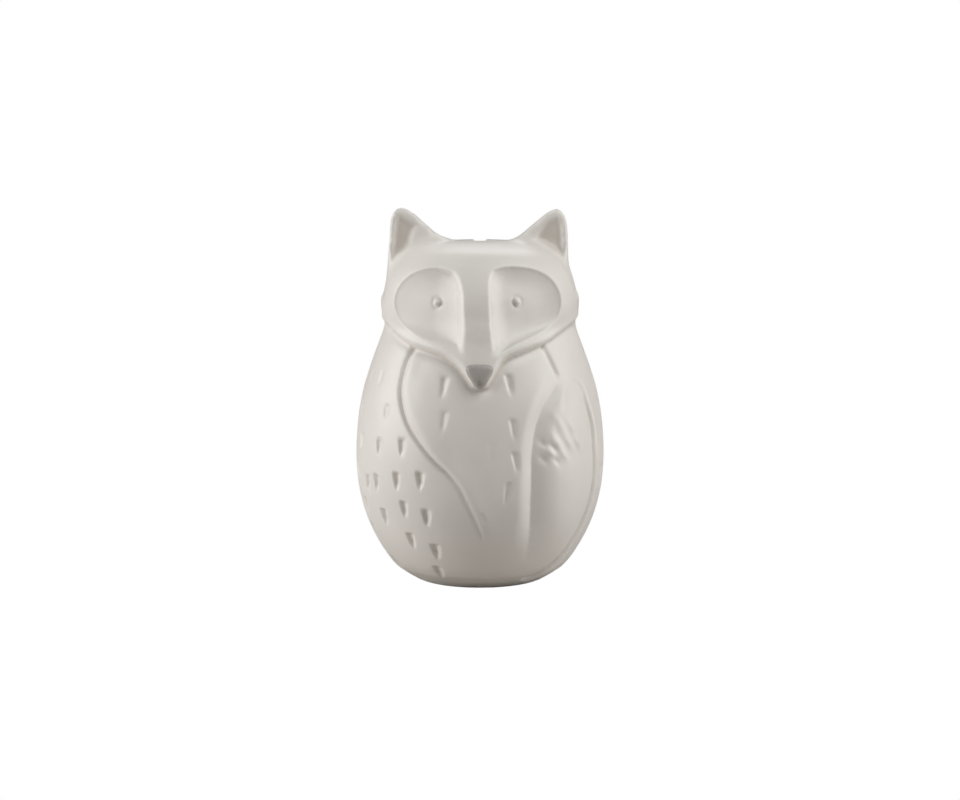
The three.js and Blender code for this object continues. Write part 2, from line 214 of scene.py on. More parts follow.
def ear_blank(outline):
    """A wedge over an outline seen from the front."""
    ear = bmesh.new()
    front = ear.faces.new([ear.verts.new((x, -1, z)) for x, z in line_through(outline, 5, True)])
    extruded(ear, [front], (0, 2, 0))
    for vert in ear.verts:
        vert.co.y *= np.interp(vert.co.z, EAR_HEIGHTS, EAR_DEPTHS)
    return ear


ear_trees = []
for outline in EAR_OUTLINES:
    ear = ear_blank(outline)
    ear_trees.append(BVHTree.FromBMesh(ear))
    shell.from_mesh(mesh_of(ear, "ear"))

# Head and ears become one skin of even small facets, and the corner between them is filled out
cast = worked(mesh_of(shell, "cast"), "REMESH", mode="VOXEL", voxel_size=VOXEL)
skin = bmesh.new()
skin.from_mesh(cast)
skin.verts.ensure_lookup_table()


def coordinates(shape):
    """The places of a shape's points, as rows."""
    return np.array([vert.co for vert in shape.verts])


def smooth_step(low, high, value):
    """0 below low, 1 above high, and a smooth rise between them."""
    t = np.clip((value - low) / (high - low), 0, 1)
    return t * t * (3 - 2 * t)


def read_skin(places):
    """Azimuth, run up the profile, radius of the profile, and height above it, of each place."""
    azimuth = np.degrees(np.arctan2(places[:, 0], -places[:, 1]))
    out = np.hypot(places[:, 0], places[:, 1])
    angle = np.arctan2(out, HEART - places[:, 2])
    run = np.interp(angle, profile_angle, profile_run)
    radius = np.interp(run, profile_run, profile[:, 0])
    height = np.interp(run, profile_run, profile[:, 1])
    across = np.interp(run, profile_run, profile_out[:, 0])
    up = np.interp(run, profile_run, profile_out[:, 1])
    proud = (out - radius) * across + (places[:, 2] - height) * up
    turn = np.radians(azimuth)
    base = np.stack([radius * np.sin(turn), -radius * np.cos(turn), height], axis=1)
    across = np.interp(run, profile_run, relief_out[:, 0])
    up = np.interp(run, profile_run, relief_out[:, 1])
    outward = np.stack([across * np.sin(turn), -across * np.cos(turn), up], axis=1)
    return azimuth, run, radius, proud, base, outward


def ear_distance(places):
    """How far each place is from the nearer ear. Places low on the body count as far."""
    far = np.full(len(places), 50.0)
    for i in np.flatnonzero(places[:, 2] > EAR_ROOT):
        far[i] = min(tree.find_nearest(places[i])[3] for tree in ear_trees)
    return far


def rubbed(chosen, passes):
    """The chosen places of the skin rubbed smooth, a number of times over."""
    verts = [skin.verts[i] for i in np.flatnonzero(chosen)]
    for _ in range(passes):
        bmesh.ops.smooth_vert(skin, verts=verts, factor=0.5, use_axis_x=True, use_axis_y=True,
                              use_axis_z=True)


places = coordinates(skin)
proud = read_skin(places)[3]
seam = np.maximum(ear_distance(places), np.abs(proud))
rubbed(seam < EAR_FILLET, FILLET_PASSES)
rubbed(seam < EAR_FILLET * 0.5, FILLET_PASSES)
rubbed((proud > 0.3) & (places[:, 2] > EAR_ROOT + 8), EAR_PASSES)


# ---- Relief ----
# The face, legs, tail and fur are modelled in the clay before it is cast, as soft ridges and
# pressed lines. Each line is a row of (azimuth, height) points on the body.


def on_skin(line):
    """A line's heights as runs up the profile."""
    top = np.argmax(profile[:, 1] > CROWN[1] - 0.5)
    run = np.interp(line[:, 1], profile[:top, 1], profile_run[:top])
    return np.stack([line[:, 0], run], axis=1)


def turn_between(azimuth, start):
    """The turn from one azimuth to others, at most half a turn either way."""
    return (azimuth - start + 180) % 360 - 180


def from_line(spot, points, closed=False):
    """Distance in mm from a line, which side (+ is left of its way), and the share along it."""
    azimuth, run, radius = spot
    line = on_skin(line_through(points, closed=closed))
    if closed:
        line = np.vstack([line, line[0]])
    distance = np.full(len(azimuth), 1e3)
    side = np.ones(len(azimuth))
    share = np.zeros(len(azimuth))
    scale = np.radians(1) * radius
    for i in range(len(line) - 1):
        dx = turn_between(azimuth, line[i, 0]) * scale
        dy = run - line[i, 1]
        ex = (line[i + 1, 0] - line[i, 0]) * scale
        ey = line[i + 1, 1] - line[i, 1]
        t = np.clip((dx * ex + dy * ey) / (ex**2 + ey**2 + 1e-9), 0, 1)
        off = np.hypot(dx - t * ex, dy - t * ey)
        closer = off < distance
        distance = np.where(closer, off, distance)
        side = np.where(closer, np.sign(ex * dy - ey * dx), side)
        share = np.where(closer, (i + t) / (len(line) - 1), share)
    return distance, side, share


def enclosed(across, up, line):
    """Which places lie within a closed line."""
    odd = np.zeros(len(across), bool)
    for (x0, y0), (x1, y1) in zip(line, np.roll(line, -1, axis=0)):
        crosses = (y0 > up) != (y1 > up)
        odd ^= crosses & (across < x0 + (up - y0) / (y1 - y0 + 1e-12) * (x1 - x0))
    return odd


def inside(spot, points):
    """Distance in mm inside a closed outline, negative outside it."""
    distance = from_line(spot, points, closed=True)[0]
    within = enclosed(spot[0], spot[1], on_skin(line_through(points, closed=True)))
    return np.where(within, distance, -distance)


def bell(value, width):
    """1 at nought, falling away to either side over a width."""
    return np.exp(-((value / width) ** 2))


def fade(share, rise=0.12, fall=0.12):
    """1 along a line, running out to 0 at its ends."""
    return smooth_step(0, rise, share) * smooth_step(0, fall, 1 - share)


# The mask: its lower edge from cheek to cheek by way of the snout, and how proud it stands there
MASK_EDGE = [(-110, 106.5), (-88, 105.2), (-71, 104.2), (-60, 102.0), (-50.8, 99.9), (-39.8, 97.6),
             (-27.5, 95.7), (-20.2, 94.2), (-15.5, 92.6), (-11.8, 90.6), (-8.9, 88.3), (-6.1, 85.6),
             (-3.4, 83.2), (0, 82.4), (3.4, 83.2), (6.2, 86.0), (8.8, 89.0), (11.3, 91.6),
             (15, 93.5), (20.5, 94.9), (29.2, 96.7), (38.8, 98.4), (50.8, 101.3), (64.8, 104.0),
             (77, 105.4), (90, 106.5), (110, 108)]
MASK_PROUD = ([0, 9, 15, 27, 45, 60, 75, 90, 102], [5.0, 4.6, 4.0, 3.2, 2.5, 2.1, 1.5, 0.5, 0])
MASK_RISE = ([0, 0.05, 0.16, 0.26, 0.36, 0.48, 0.6, 0.72, 0.85, 0.97, 1.1],
             [0.55, 0.66, 0.86, 0.97, 1, 0.95, 0.82, 0.6, 0.32, 0.1, 0])
MASK_TOP = 131
MASK_ENDS = (104, 92)  # the rim runs out between these azimuths, on each side
MASK_RIM = 0.35
MASK_GROOVE = 0.45
GROOVE_ENDS = (92, 62)
NECK_FILL = 1.2  # the bridge of the nose runs straight over the bend of the neck

# The eye sockets: scoops, each between the bridge of the nose and a rim that runs round outside
BRIDGES = (
    [(-7.3, 91.9), (-6.7, 97), (-6.3, 103.4), (-6.8, 110), (-7.6, 117.7), (-9.4, 122.2), (-12.2, 125.7),
     (-17, 127.9)],
    [(8.6, 127.4), (6.2, 125.8), (4.9, 123.0), (4.5, 118), (4.6, 111.0), (5.0, 104), (5.6, 98),
     (6.2, 92.8)],
)
RIMS = (
    [(-17, 127.9), (-26.5, 128.3), (-35, 127.7), (-43.5, 126.1), (-50.3, 123.2), (-54.5, 119.4),
     (-55.8, 115.3), (-54.8, 111.1), (-51.8, 107.4), (-46.2, 104.2), (-37.5, 101.5), (-27.2, 98.7),
     (-18.8, 96.4), (-12.4, 94.0), (-7.7, 91.9)],
    [(6.2, 92.8), (9.6, 94.0), (13.8, 95.8), (21.5, 98.5), (31.3, 101.3), (40.0, 103.9),
     (46.8, 107.2), (50.2, 110.9), (51.4, 114.8), (50.8, 118.6), (48.2, 122.2), (43.2, 125.2),
     (36.4, 127.2), (27, 128.4), (17, 128.6), (8.6, 127.4)],
)
SOCKETS = [bridge + rim[1:-1] for bridge, rim in zip(BRIDGES, RIMS)]
SOCKET_DEPTHS = (5.4, 5.2)
SOCKET_CRISP = (0.45, 0.8)  # how much steeper than a sagging sheet the edges are
SOCKET_LIP = 0.9
BRIDGE_SOFT = 3.2  # the left side of the bridge is rounder than the right
DEEPEST = 3.2  # nothing on the face is pressed farther into the wall
PULLS = ((-21, 12, 1.0), (15, 9, 0.8))  # each is deepest near the bridge: azimuth, width, how much
SHEET_STEP = 0.5
SHEET_ROUNDS = 5000
EYES = ((-27.2, 114.9), (23.0, 115.2))
EYE_RADIUS = 1.55
EYE_PROUD = 1.35
EYE_DITCH = 0.25


def pressed_sheet(outline, pull):
    """A sheet held along an outline sinks under a load: a grid of depths up to 1."""
    line = on_skin(line_through(outline, closed=True))
    azimuths = np.arange(line[:, 0].min() - 1, line[:, 0].max() + 1, SHEET_STEP)
    runs = np.arange(line[:, 1].min() - 1, line[:, 1].max() + 1, SHEET_STEP * np.radians(CHEEK[0]))
    across, up = np.meshgrid(azimuths, runs, indexing="ij")
    held = (across.ravel(), up.ravel(), np.full(across.size, float(CHEEK[0])))
    loose = inside(held, outline).reshape(across.shape) > 0
    load = (1 + pull[2] * bell(across - pull[0], pull[1]))[1:-1, 1:-1]
    sheet = np.zeros(across.shape)
    for _ in range(SHEET_ROUNDS):
        around = sheet[:-2, 1:-1] + sheet[2:, 1:-1] + sheet[1:-1, :-2] + sheet[1:-1, 2:]
        sheet[1:-1, 1:-1] = (around / 4 + load) * loose[1:-1, 1:-1]
    return azimuths, runs, sheet / sheet.max()


def read_sheet(sheet, spot):
    """The depth of a sheet at each spot, between the four nearest points of its grid."""
    azimuths, runs, depths = sheet
    i = np.clip((spot[0] - azimuths[0]) / (azimuths[1] - azimuths[0]), 0, len(azimuths) - 1.001)
    j = np.clip((spot[1] - runs[0]) / (runs[1] - runs[0]), 0, len(runs) - 1.001)
    i0, j0 = i.astype(int), j.astype(int)
    low = depths[i0, j0] * (1 - i + i0) + depths[i0 + 1, j0] * (i - i0)
    high = depths[i0, j0 + 1] * (1 - i + i0) + depths[i0 + 1, j0 + 1] * (i - i0)
    return low * (1 - j + j0) + high * (j - j0)


socket_sheets = [pressed_sheet(outline, pull) for outline, pull in zip(SOCKETS, PULLS)]


def face_relief(spot):
    """The mask, its sockets and the eyes, in mm above the plain head."""
    azimuth, run, radius = spot
    height = np.interp(run, profile_run, profile[:, 1])
    distance, side, _ = from_line(spot, MASK_EDGE)
    above = distance * side
    edge = np.interp(azimuth, *np.array(line_through(MASK_EDGE)).T)
    share = np.clip((height - edge) / (MASK_TOP - edge), 0, 1.2)
    proud = np.interp(np.abs(azimuth), *MASK_PROUD) * np.interp(share, *MASK_RISE)
    relief = proud * smooth_step(-0.9, 1.3, above)
    relief += MASK_RIM * bell(above - 1.9, 1.3) * smooth_step(*MASK_ENDS, np.abs(azimuth))
    relief -= MASK_GROOVE * bell(above + 1.3, 1.7) * smooth_step(*GROOVE_ENDS, np.abs(azimuth))
    relief += NECK_FILL * bell(height - 103.5, 4.5) * bell(azimuth, 28) * (above > 0)
    soft = smooth_step(-32, -14, azimuth) * smooth_step(4, -4, azimuth)
    for outline, sheet, depth, crisp in zip(SOCKETS, socket_sheets, SOCKET_DEPTHS, SOCKET_CRISP):
        sunk = read_sheet(sheet, spot)
        edge = smooth_step(0, SOCKET_LIP + BRIDGE_SOFT * soft, inside(spot, outline))
        relief -= depth * sunk * (1 + crisp * (1 - sunk)) * edge
    relief = np.maximum(relief, -DEEPEST)
    for eye_azimuth, eye_height in EYES:
        eye_run = on_skin(np.array([[eye_azimuth, eye_height]]))[0, 1]
        away = np.hypot((azimuth - eye_azimuth) * np.radians(1) * radius, run - eye_run)
        relief += EYE_PROUD * np.clip(1 - (away / EYE_RADIUS) ** 2, 0, 1) ** 0.6
        relief -= EYE_DITCH * bell(away - EYE_RADIUS - 0.6, 0.7)
    return relief


# The legs: a pressed line down the outer side of the left one, soft swells, and the right one's
# proud outer edge, which overlaps the tail
LEFT_LEG = [(-39.8, 97.5), (-41.0, 94.3), (-42.3, 90.9), (-42.8, 87.0), (-42.8, 83.0), (-41.8, 79.0),
            (-39.5, 74.3), (-36.8, 70.1), (-33.0, 65.5), (-28.0, 60.8), (-23.5, 56.6), (-19.8, 53.4),
            (-15.0, 49.8), (-11.5, 46.4), (-9.0, 43.2), (-6.8, 39.0), (-4.5, 34.8), (-2.2, 30.4),
            (0.0, 25.6), (3.2, 19.2)]
LEFT_LEG_DEPTHS = ([0, 0.3, 0.62, 0.7, 0.85, 1], [1.2, 1.35, 1.0, 0.6, 0.55, 0.45])
LEFT_LEG_WIDTHS = ([0, 0.35], [1.7, 1.15])
LEFT_LEG_LIP = 0.55
RIGHT_LEG = [(46.2, 84.9), (40.0, 81.2), (35.2, 77.6), (31.3, 73.9), (28.2, 69.2), (26.3, 64.3),
             (25.0, 58.5), (24.5, 53.6), (24.5, 48.7), (24.5, 43.6), (24.5, 38.5), (25.0, 31.8),
             (25.5, 27.3), (26, 21), (27, 14), (27.6, 8), (28, 3), (28, 0)]
RIGHT_LEG_DEPTHS = ([0, 0.12, 0.25, 0.41, 0.6, 0.7, 0.78, 0.84], [0.5, 1.4, 2.3, 2.6, 2.3, 1.6, 0.5, 0])
RIGHT_LEG_REACH = ([0, 0.12, 0.3, 0.5, 0.8], [3.6, 4.2, 7.5, 12, 14])
RIGHT_LEG_BEND = ([0, 0.3, 0.5, 1], [1.2, 1.3, 2, 2])
LEG_ROUND = 6.5  # how far the right leg's outer edge is rounded over
TAIL_SWELL = 1.0

# Softer strokes: each has a line, how proud it stands, its width and how it runs out at its ends
LEG_STROKES = (
    ([(-15.2, 63.8), (-12.8, 56.9), (-9.8, 51.6), (-8.8, 45.1)], -0.3, 1.8, 0.4, 0.5),
    ([(0, 34.7), (3, 29.4)], -0.3, 0.8, 0.3, 0.3),
    ([(-33, 92), (-33, 82), (-29, 72), (-21, 61), (-13, 51)], 0.7, 6, 0.3, 0.3),
    ([(29, 93), (31, 84), (25, 74), (20, 64), (18.5, 52), (18.8, 40), (19, 28), (17, 16)],
     0.7, 5, 0.3, 0.3),
    ([(37.2, 98.2), (38.6, 95.4), (40.2, 91.6), (42.4, 87.4), (45.2, 84.6)], -0.95, 1.3, 0.05, 0.25),
    ([(45.4, 86.0), (44.2, 81.5), (42.6, 77.0), (40.6, 72.0), (39, 67)], 0.7, 2.8, 0.3, 0.3),
)


def leg_relief(spot):
    """The legs, the shoulder and the hollow between the right leg and the tail, in mm."""
    distance, side, share = from_line(spot, LEFT_LEG)
    groove = bell(distance, np.interp(share, *LEFT_LEG_WIDTHS)) * fade(share, 0.02, 0.06)
    relief = -np.interp(share, *LEFT_LEG_DEPTHS) * groove
    relief += LEFT_LEG_LIP * bell(distance * side - 3.4, 2.9) * fade(share)
    for line, stands, width, rise, fall in LEG_STROKES:
        distance, _, share = from_line(spot, line)
        relief += stands * bell(distance, width) * fade(share, rise, fall)
    distance, side, share = from_line(spot, RIGHT_LEG)
    tail_side = distance * side
    over = np.clip(1 + tail_side / LEG_ROUND, 0, 1) ** 1.6
    out = 1 - np.clip(tail_side / np.interp(share, *RIGHT_LEG_REACH), 0, 1)
    out = out ** np.interp(share, *RIGHT_LEG_BEND)
    relief -= np.interp(share, *RIGHT_LEG_DEPTHS) * np.where(tail_side < 0, over, out)
    swell = TAIL_SWELL * smooth_step(-2, 12, tail_side) * bell(np.maximum(tail_side - 14, 0), 9)
    relief += swell * smooth_step(0.28, 0.5, share) * smooth_step(0.95, 0.7, share)
    return relief


# The tail: a brush that curls round the right side with its tip up, set off from the body by a
# pressed line down its outer side, with soft tufts at its tip
TAIL_BACK = [(46.2, 84.9), (53.5, 84.0), (60.0, 80.8), (61.2, 74.9), (63.2, 68.6), (64.2, 63.0),
             (64.4, 57.0), (64.9, 50.1), (65.2, 44.5), (65.0, 38.2), (63.8, 31.8), (62.0, 25.5),
             (59.0, 19.5), (55.3, 14.0), (49.5, 9.0), (40.5, 5.0), (30, 3.2)]
TAIL_GROOVE_DEPTHS = ([0.5, 0.75], [1.6, 2.3])  # the line is deeper and wider on its lower part
TAIL_GROOVE_WIDTHS = ([0.5, 0.75], [0.95, 1.5])
TAIL_LIP = 0.5
TUFT_PROUD = 0.55
NOTCH_DEPTH = 0.5
NOTCH_SIZE = (3.8, 3.2)
TUFTS = ((39.4, 67.4, 9.0, 4.2), (46.6, 66.0, 8.5, 3.8), (37.0, 60.6, 6.5, 4.0),
         (43.8, 60.2, 7.0, 3.8), (50.0, 59.6, 5.5, 3.4), (33.2, 57.0, 4.5, 3.2),
         (40.4, 55.6, 4.5, 3.4))
TUFT_LEAN = -32
TUFT_NOTCHES = ((30, 54.3), (36, 53.8), (30.2, 60.4), (35, 58.6))


def along_lean(spot, azimuth, height, lean):
    """Places in mm across and up from a spot, in a frame that leans from upright."""
    run = on_skin(np.array([[azimuth, height]]))[0, 1]
    u = turn_between(spot[0], azimuth) * np.radians(1) * spot[2]
    v = spot[1] - run
    return u - v * math.tan(math.radians(lean)), v


def tuft(spot, azimuth, height, length, width, lean):
    """A soft long bump from 0 round about to 1 at its middle."""
    u, v = along_lean(spot, azimuth, height, lean)
    return bell(u, width / 2) * bell(v, length / 2)


def tail_relief(spot):
    """The line down the tail's outer side, its lip, and the tufts at the tip, in mm."""
    distance, side, share = from_line(spot, TAIL_BACK)
    outer = distance * side
    ends = fade(share, 0.3, 0.05)
    groove = bell(outer - 0.3, np.interp(share, *TAIL_GROOVE_WIDTHS))
    relief = -np.interp(share, *TAIL_GROOVE_DEPTHS) * groove * ends
    relief += TAIL_LIP * bell(outer - 2.9, 1.5) * ends
    for azimuth, height, length, width in TUFTS:
        relief += TUFT_PROUD * tuft(spot, azimuth, height, length, width, TUFT_LEAN)
    for azimuth, height in TUFT_NOTCHES:
        relief -= NOTCH_DEPTH * tuft(spot, azimuth, height, *NOTCH_SIZE, TUFT_LEAN)
    return relief


# The fur: staggered rows of wedge-shaped nicks, flat on top and pointed below, and longer strokes
# on the chest
FUR_ROWS = ((84, 0.25), (71, 0.4), (58, 0.75), (45, 1.0), (32.5, 1.0), (20.5, 1.0), (9, 0.8))
FUR_START = -39.5
FUR_END = -285
FUR_TURN = 13.6
NICK_LENGTH = 7.4
NICK_WIDTH = 4.2
NICK_DEPTH = 1.2
FRONT_NICKS = ((-53.5, 57.4, 0.8), (-38.2, 58.5, 0.8), (-65, 41.8, 1), (-56, 42.9, 1),
               (-41.5, 45, 1.1), (-28.5, 46.1, 1.1), (-53.8, 29.3, 1), (-38.5, 33.8, 1),
               (-26.5, 31.3, 1.1), (-38.5, 20.8, 1), (-24.8, 17.1, 1.1), (-27.5, 7.6, 0.9),
               (-50.3, 71.1, 0.45), (-60.8, 83.7, 0.3))
CHEST_STROKES = ((-18.8, 82.3, 0.8, 4), (-17.5, 69.1, 0.6, 6), (14.3, 83.2, 0.8, -6),
                 (15, 66, 0.7, -4), (15.8, 53.2, 0.7, -8), (11.8, 41.5, 0.6, 8),
                 (4.5, 57.4, 0.2, 0), (-1.8, 50.9, 0.2, 0))
STROKE_SIZE = (9.5, 2.8)
STROKE_SOFTNESS = 0.2


def nick(spot, azimuth, height, length, width, lean=0, soft=0.0):
    """A wedge from 0 outside to 1 along its deepest line, from its flat top down to its point. Its
    right wall is longer than its left one."""
    u, v = along_lean(spot, azimuth, height, lean)
    down = np.clip(0.5 - v / length, 0, 1)
    half = width / 2 * (1 - 0.8 * down**1.3)
    u = np.where(u < 0, -u / half, u / (half + 1.2)) / (1 + soft)
    top = smooth_step(length / 2 + 0.6 + soft, length / 2 - 1.1 - 2 * soft, v)
    point = smooth_step(-length / 2 - 0.8, -length / 2 + length * 0.5, v)
    return smooth_step(1.05, 0, u) * top * point


def fur_relief(spot):
    """All the nicks and strokes, in mm."""
    relief = np.zeros(len(spot[0]))
    jitter = random.Random(7)
    nicks = list(FRONT_NICKS)
    for row, (height, strength) in enumerate(FUR_ROWS):
        start = FUR_START - FUR_TURN * (2.4 if height > 25 else 2.1) - FUR_TURN / 2 * (row % 2)
        while start > FUR_END:
            azimuth = start + jitter.uniform(-1.2, 1.2)
            nicks.append((azimuth, height + jitter.uniform(-1, 1), strength))
            start -= FUR_TURN
    for azimuth, height, strength in nicks:
        relief -= NICK_DEPTH * strength * nick(spot, azimuth, height, NICK_LENGTH, NICK_WIDTH)
    for azimuth, height, strength, lean in CHEST_STROKES:
        relief -= strength * nick(spot, azimuth, height, *STROKE_SIZE, lean, STROKE_SOFTNESS)
    return relief


# The foot: a shallow step where the shell turns in under the belly
FOOT_STEP = 5.2
FOOT_STEP_DEPTH = 0.2
FOOT_DROP = 0.3  # the even facets stop short of the table


def foot_relief(spot):
    """The step round the foot, in mm."""
    height = np.interp(spot[1], profile_run, profile[:, 1])
    return -FOOT_STEP_DEPTH * smooth_step(FOOT_STEP + 0.5, FOOT_STEP - 0.5, height)


# The coin slot's edge is rounded over before the slot is cut
SLOT_MIDDLE = 14.04
SLOT_LENGTH = 33
SLOT_WIDTH = 5
SLOT_ROUND = 0.4
EAR_CLEAR = (3.5, 7)  # the relief fades in between these distances from an ear


def slot_relief(places):
    """The rounded edge of the slot, in mm."""
    reach = (SLOT_LENGTH - SLOT_WIDTH) / 2
    along = np.maximum(np.abs(places[:, 1] - SLOT_MIDDLE) - reach, 0)
    away = np.hypot(places[:, 0], along) - SLOT_WIDTH / 2
    into = np.clip(1 - away / SLOT_ROUND, 0, 1)
    return np.where(places[:, 2] > CROWN[1] - 15, -SLOT_ROUND * (1 - np.sqrt(1 - into**2)), 0)


def relief_of(spot):
    """All the relief below the ears, in mm."""
    kinds = (face_relief, leg_relief, tail_relief, fur_relief, foot_relief)
    return sum(kind(spot) for kind in kinds)


def ear_share(places):
    """1 on the ears and the fillets at their feet, 0 on the body and the head."""
    return 1 - smooth_step(*EAR_CLEAR, ear_distance(places))


def spread(values, pairs, rounds):
    """Values averaged with their neighbours', a number of times over."""
    count = np.bincount(pairs.ravel(), minlength=len(values))
    for _ in range(rounds):
        total = np.bincount(pairs[:, 0], values[pairs[:, 1]], len(values))
        total += np.bincount(pairs[:, 1], values[pairs[:, 0]], len(values))
        values = 0.5 * values + 0.5 * total / np.maximum(count, 1)
    return values


def pairs_of(shape):
    """The two ends of each edge, as rows."""
    return np.array([[v.index for v in edge.verts] for edge in shape.edges])


# Facets are halved on the ears, and where the relief bends within one of them
BEND = 0.024
EAR_FRONTS = 126
skin.verts.index_update()
places = coordinates(skin)
azimuth, run, radius, proud, base, _ = read_skin(places)
relief = relief_of((azimuth, run, radius)) * (1 - ear_share(places)) + slot_relief(base)
pairs = pairs_of(skin)
bend = np.abs(relief - spread(relief, pairs, 1))
bend = np.maximum(bend, spread(bend, pairs, 2))
sharp = set(np.flatnonzero((bend > BEND) | (places[:, 2] > EAR_FRONTS) & (proud > 1)))
edges = {edge for edge in skin.edges if edge.verts[0].index in sharp or edge.verts[1].index in sharp}
bmesh.ops.subdivide_edges(skin, edges=list(edges), cuts=1, use_grid_fill=True)
skin.verts.index_update()
skin.verts.ensure_lookup_table()

# The ears' fronts are hollowed on their outer halves
EAR_SCOOPS = (
    [(-36.2, 127.0), (-36.0, 137), (-35.2, 144.6), (-32.6, 148.2), (-28.4, 146.8), (-24.0, 143.4),
     (-25.6, 139.4), (-27.6, 134.0), (-32.0, 129.6)],
    [(34.2, 128.0), (30.6, 130.2), (25.2, 134.0), (21.2, 137.0), (22.0, 140.6), (25.0, 145.0),
     (29.0, 147.2), (31.4, 147.6), (33.6, 145.0), (34.4, 141), (34.5, 134)],
)
EAR_SCOOP_HEIGHTS = (128, 133, 138, 148)
EAR_SCOOP_DEPTHS = (0.9, 1.7, 1.8, 1.1)
EAR_SCOOP_SLOPE = 3.4


def from_outline(across, up, line):
    """Distance in mm of each place from a closed line, seen from the front."""
    away = np.full(len(across), 1e3)
    for (x0, z0), (x1, z1) in zip(line, np.roll(line, -1, axis=0)):
        dx, dz = across - x0, up - z0
        t = np.clip((dx * (x1 - x0) + dz * (z1 - z0)) / ((x1 - x0) ** 2 + (z1 - z0) ** 2), 0, 1)
        away = np.minimum(away, np.hypot(dx - t * (x1 - x0), dz - t * (z1 - z0)))
    return away


def ear_scoop(places, facing):
    """How far each place on the front of an ear is pressed back."""
    across, up = places[:, 0], places[:, 2]
    deep = np.interp(up, EAR_SCOOP_HEIGHTS, EAR_SCOOP_DEPTHS)
    pressed = np.zeros(len(places))
    for outline in EAR_SCOOPS:
        line = line_through(outline, 5, True)
        inward = np.where(enclosed(across, up, line), from_outline(across, up, line), 0)
        pressed += deep * smooth_step(0, EAR_SCOOP_SLOPE, inward)
    return pressed * smooth_step(0.05, 0.45, -facing) * (up > EAR_FRONTS - 1)


places = coordinates(skin)
azimuth, run, radius, _, base, outward = read_skin(places)
on_ear = ear_share(places)
skin.normal_update()
facing = np.array([vert.normal.y for vert in skin.verts])
relief = relief_of((azimuth, run, radius)) * (1 - on_ear) + slot_relief(base)
scoop = ear_scoop(places, facing) * on_ear
settled = places * on_ear[:, None] + base * (1 - on_ear[:, None])
settled += outward * relief[:, None]
settled[:, 1] += scoop
settled[:, 2] = np.maximum(settled[:, 2] - FOOT_DROP * smooth_step(2, 0.4, settled[:, 2]), 0)
for vert, place in zip(skin.verts, settled):
    vert.co = place

# How far each place lies below the skin round it, plus the depth of the ear scoops, for the glaze
# colour: darker in hollows, partly for pooled glaze and partly as painted shade, and lighter on ridges
# as painted light
HOLLOW_REACH = 14
# The ear scoops' depth is counted here so that the scoops are painted darker: painted shade
EAR_SCOOP_PAINTED_SHADE = 0.33
hollow = spread(relief, pairs_of(skin), HOLLOW_REACH) - relief + EAR_SCOOP_PAINTED_SHADE * scoop
hollow_tree = KDTree(len(settled))
for i, place in enumerate(settled):
    hollow_tree.insert(place, i)
hollow_tree.balance()
shell_tree = BVHTree.FromBMesh(skin)
outside = mesh_of(skin, "outside")


# ---- Chamber, coin slot and hole ----
# The shell is hollow, about 4.5 mm thick. The slot is cut through the rear half of the crown and
# the stopper's hole through the base, before firing, with their edges wiped soft.

WALL = 4.5
FOOT_RECESS = 2.8
CHAMBER_FLOOR = FOOT_RECESS + WALL
RECESS_RADIUS = 18.5
HOLE_RADIUS = 14.5
EDGE = 0.5
MILLIMETRE = 0.001

inner_wall = profile - profile_out * WALL
inner_wall = inner_wall[(inner_wall[:, 1] > CHAMBER_FLOOR + 1) & (inner_wall[:, 0] > 0.5)]
hollow_profile = [
    (0, -3),
    (RECESS_RADIUS + 2, -3),
    (RECESS_RADIUS + EDGE, 0),
    (RECESS_RADIUS + 0.1, EDGE * 0.8),
    (RECESS_RADIUS, FOOT_RECESS - 0.4),
    (RECESS_RADIUS - 0.4, FOOT_RECESS),
    (HOLE_RADIUS + EDGE, FOOT_RECESS),
    (HOLE_RADIUS + 0.12, FOOT_RECESS + 0.15),
    (HOLE_RADIUS, FOOT_RECESS + EDGE),
    (HOLE_RADIUS, CHAMBER_FLOOR - EDGE),
    (HOLE_RADIUS + EDGE, CHAMBER_FLOOR),
    (inner_wall[0, 0] - 2, CHAMBER_FLOOR),
    *inner_wall[::4],
    (0, CROWN[1] - WALL),
]
hollow_tool = turned(hollow_profile, 96)

# The slot's cutter: a long round-ended blade, set through the crown
SLOT_CUT = 13
slot_tool = bmesh.new()
reach = (SLOT_LENGTH - SLOT_WIDTH) / 2
bmesh.ops.create_circle(slot_tool, cap_ends=True, segments=32, radius=SLOT_WIDTH / 2,
                        matrix=Matrix.Translation((0, 0, CROWN[1] - SLOT_CUT)))
for vert in slot_tool.verts:
    vert.co.y += SLOT_MIDDLE + math.copysign(reach, vert.co.y + 1e-5)
extruded(slot_tool, slot_tool.faces[:], (0, 0, 2 * SLOT_CUT))


def cut(mesh, tool_shape):
    """A mesh with a solid taken out of it."""
    tool = bpy.data.objects.new("tool", mesh_of(tool_shape, "tool"))
    scene.collection.objects.link(tool)
    result = worked(mesh, "BOOLEAN", operation="DIFFERENCE", solver="MANIFOLD", object=tool)
    bpy.data.objects.remove(tool)
    return result


def finished(mesh, name):
    """The finished piece of a mesh in millimetres: smooth, to real size and in the scene."""
    mesh.transform(Matrix.Scale(MILLIMETRE, 4))
    mesh.shade_smooth()
    mesh.name = name
    mesh.materials.clear()
    piece = bpy.data.objects.new(name, mesh)
    scene.collection.objects.link(piece)
    return piece


shell_mesh = cut(cut(outside, hollow_tool), slot_tool)
